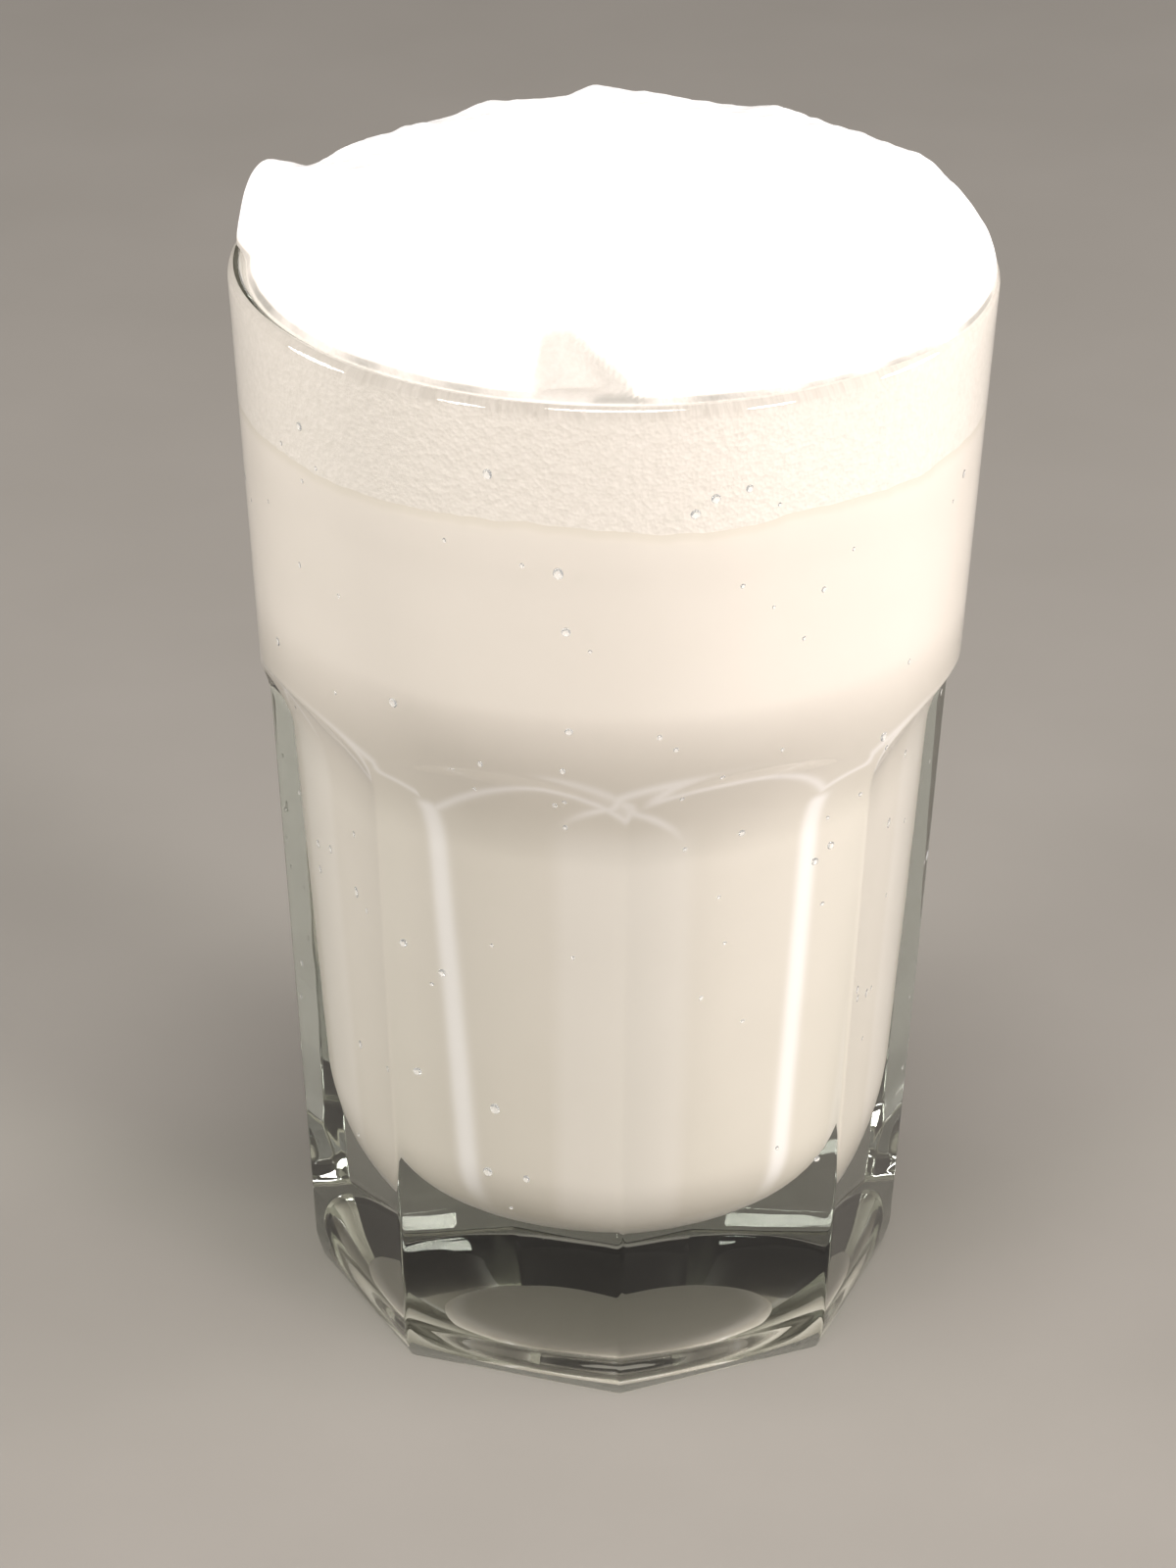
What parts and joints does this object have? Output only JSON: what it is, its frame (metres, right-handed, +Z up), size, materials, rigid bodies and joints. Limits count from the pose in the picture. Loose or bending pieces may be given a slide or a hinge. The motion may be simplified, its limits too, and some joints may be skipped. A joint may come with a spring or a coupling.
{
  "type": "glass of ayran",
  "caption": "Tall tumbler with a round band and flat panels, filled with a white yoghurt drink whose foam heaps over the rim.",
  "frame": {"origin": "middle of the underside of the foot, on the axis of the glass", "axes": "+Z up along the axis of the glass; the side that the picture shows faces -Y"},
  "size_m": [0.0826, 0.0826, 0.1331],
  "materials": {
    "clear_glass": "clear pressed glass with a faint green tint",
    "ayran": "opaque creamy white liquid",
    "foam": "white foam of fine bubbles"
  },
  "bodies": {
    "root": {"glass": "clear_glass", "ayran": "ayran", "foam": "foam"}
  },
  "joints": []
}
